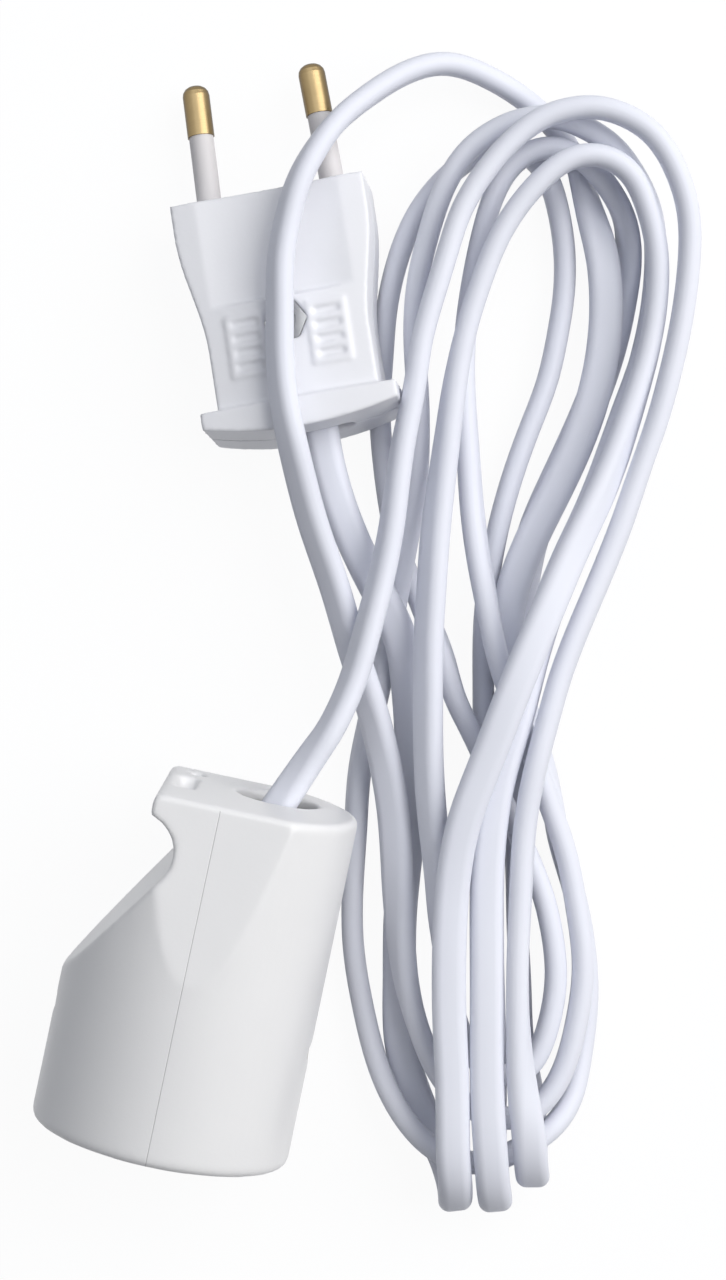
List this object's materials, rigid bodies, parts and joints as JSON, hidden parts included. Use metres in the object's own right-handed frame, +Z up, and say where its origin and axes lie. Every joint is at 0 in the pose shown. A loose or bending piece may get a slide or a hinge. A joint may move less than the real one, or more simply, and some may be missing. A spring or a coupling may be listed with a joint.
{
  "type": "extension cord",
  "caption": "Coiled flat two-core extension cord with a slim two-pin plug and a round socket that has a finger notch beside its cable exit.",
  "frame": {"origin": "centre of the socket's footprint, at the table", "axes": "+Y along the socket from its mouth towards its cable end, +Z up from the table, +X towards the side of the cable hole"},
  "size_m": [0.0893, 0.1674, 0.0397],
  "materials": {
    "white_shell": "satin",
    "cord_jacket": "satin",
    "inner_plastic": "satin",
    "block_plastic": "matt",
    "brass": "polished",
    "sleeve_plastic": "matt",
    "steel": "bright",
    "spring_steel": "bright",
    "clamp_fibre": "matt",
    "core_brown": "satin",
    "core_blue": "satin"
  },
  "bodies": {
    "lead": {"socket_body": "white_shell", "socket_face": "inner_plastic", "shutter_spring": "spring_steel", "contact_carrier": "block_plastic", "contact_left": "brass", "contact_right": "brass", "socket_terminal_screws": "steel", "socket_cord_clamp": "clamp_fibre", "socket_clamp_screws": "steel", "socket_core_brown": "core_brown", "socket_core_blue": "core_blue", "cord": "cord_jacket", "plug_upper_shell": "white_shell", "plug_lower_shell": "white_shell", "plug_pin_left": "brass", "plug_pin_right": "brass", "pin_sleeve_left": "sleeve_plastic", "pin_sleeve_right": "sleeve_plastic", "plug_terminal_screws": "steel", "plug_cord_clamp": "clamp_fibre", "plug_clamp_screws": "steel", "plug_assembly_screw": "steel", "plug_assembly_nut": "steel", "plug_core_brown": "core_brown", "plug_core_blue": "core_blue"},
    "shutter": {"shutter": "inner_plastic"}
  },
  "joints": [
    {"name": "shutter_turn", "type": "hinge", "parent": "lead", "child": "shutter", "pos_m": [0, -0.02081, 0.01906], "axis": [0, 0.9954, 0.0958], "range_deg": [0, 34], "stiffness_Nm_per_rad": 0.002, "springref_deg": -8.59}
  ]
}
